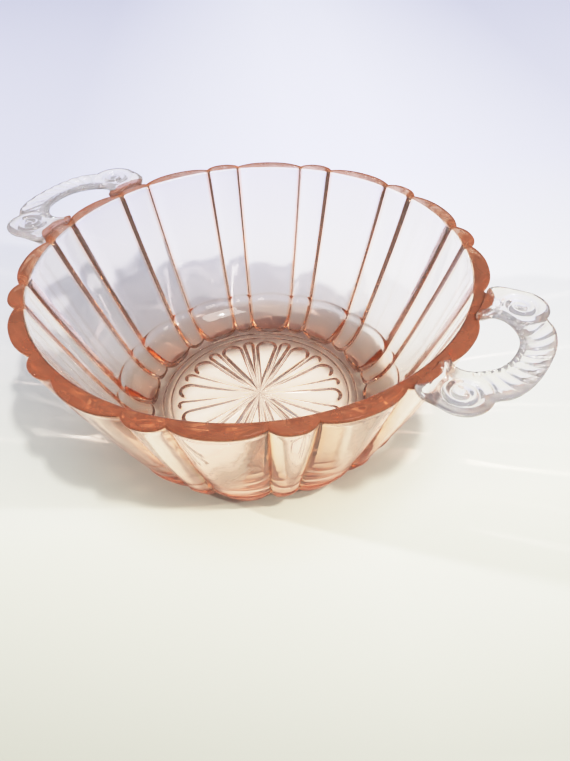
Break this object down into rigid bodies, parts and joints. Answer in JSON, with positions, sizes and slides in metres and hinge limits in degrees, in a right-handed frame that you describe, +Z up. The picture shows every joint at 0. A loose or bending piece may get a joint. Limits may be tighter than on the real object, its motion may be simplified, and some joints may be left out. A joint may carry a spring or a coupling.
{
  "type": "two-handled glass dish",
  "caption": "Round pressed glass dish with a fluted wall, scalloped rim, starred foot and open scroll handles on opposite sides; holds sweets.",
  "frame": {"origin": "centre of the foot, on the table plane", "axes": "+Z up along the dish's axis, +X through the middle of one handle, +Y across the handles"},
  "size_m": [0.2102, 0.165, 0.0725],
  "materials": {
    "pink_glass": "clear pressed glass, fire polished"
  },
  "bodies": {
    "root": {"bowl_wall": "pink_glass", "star_base": "pink_glass", "handle_right": "pink_glass", "handle_left": "pink_glass"}
  },
  "joints": []
}
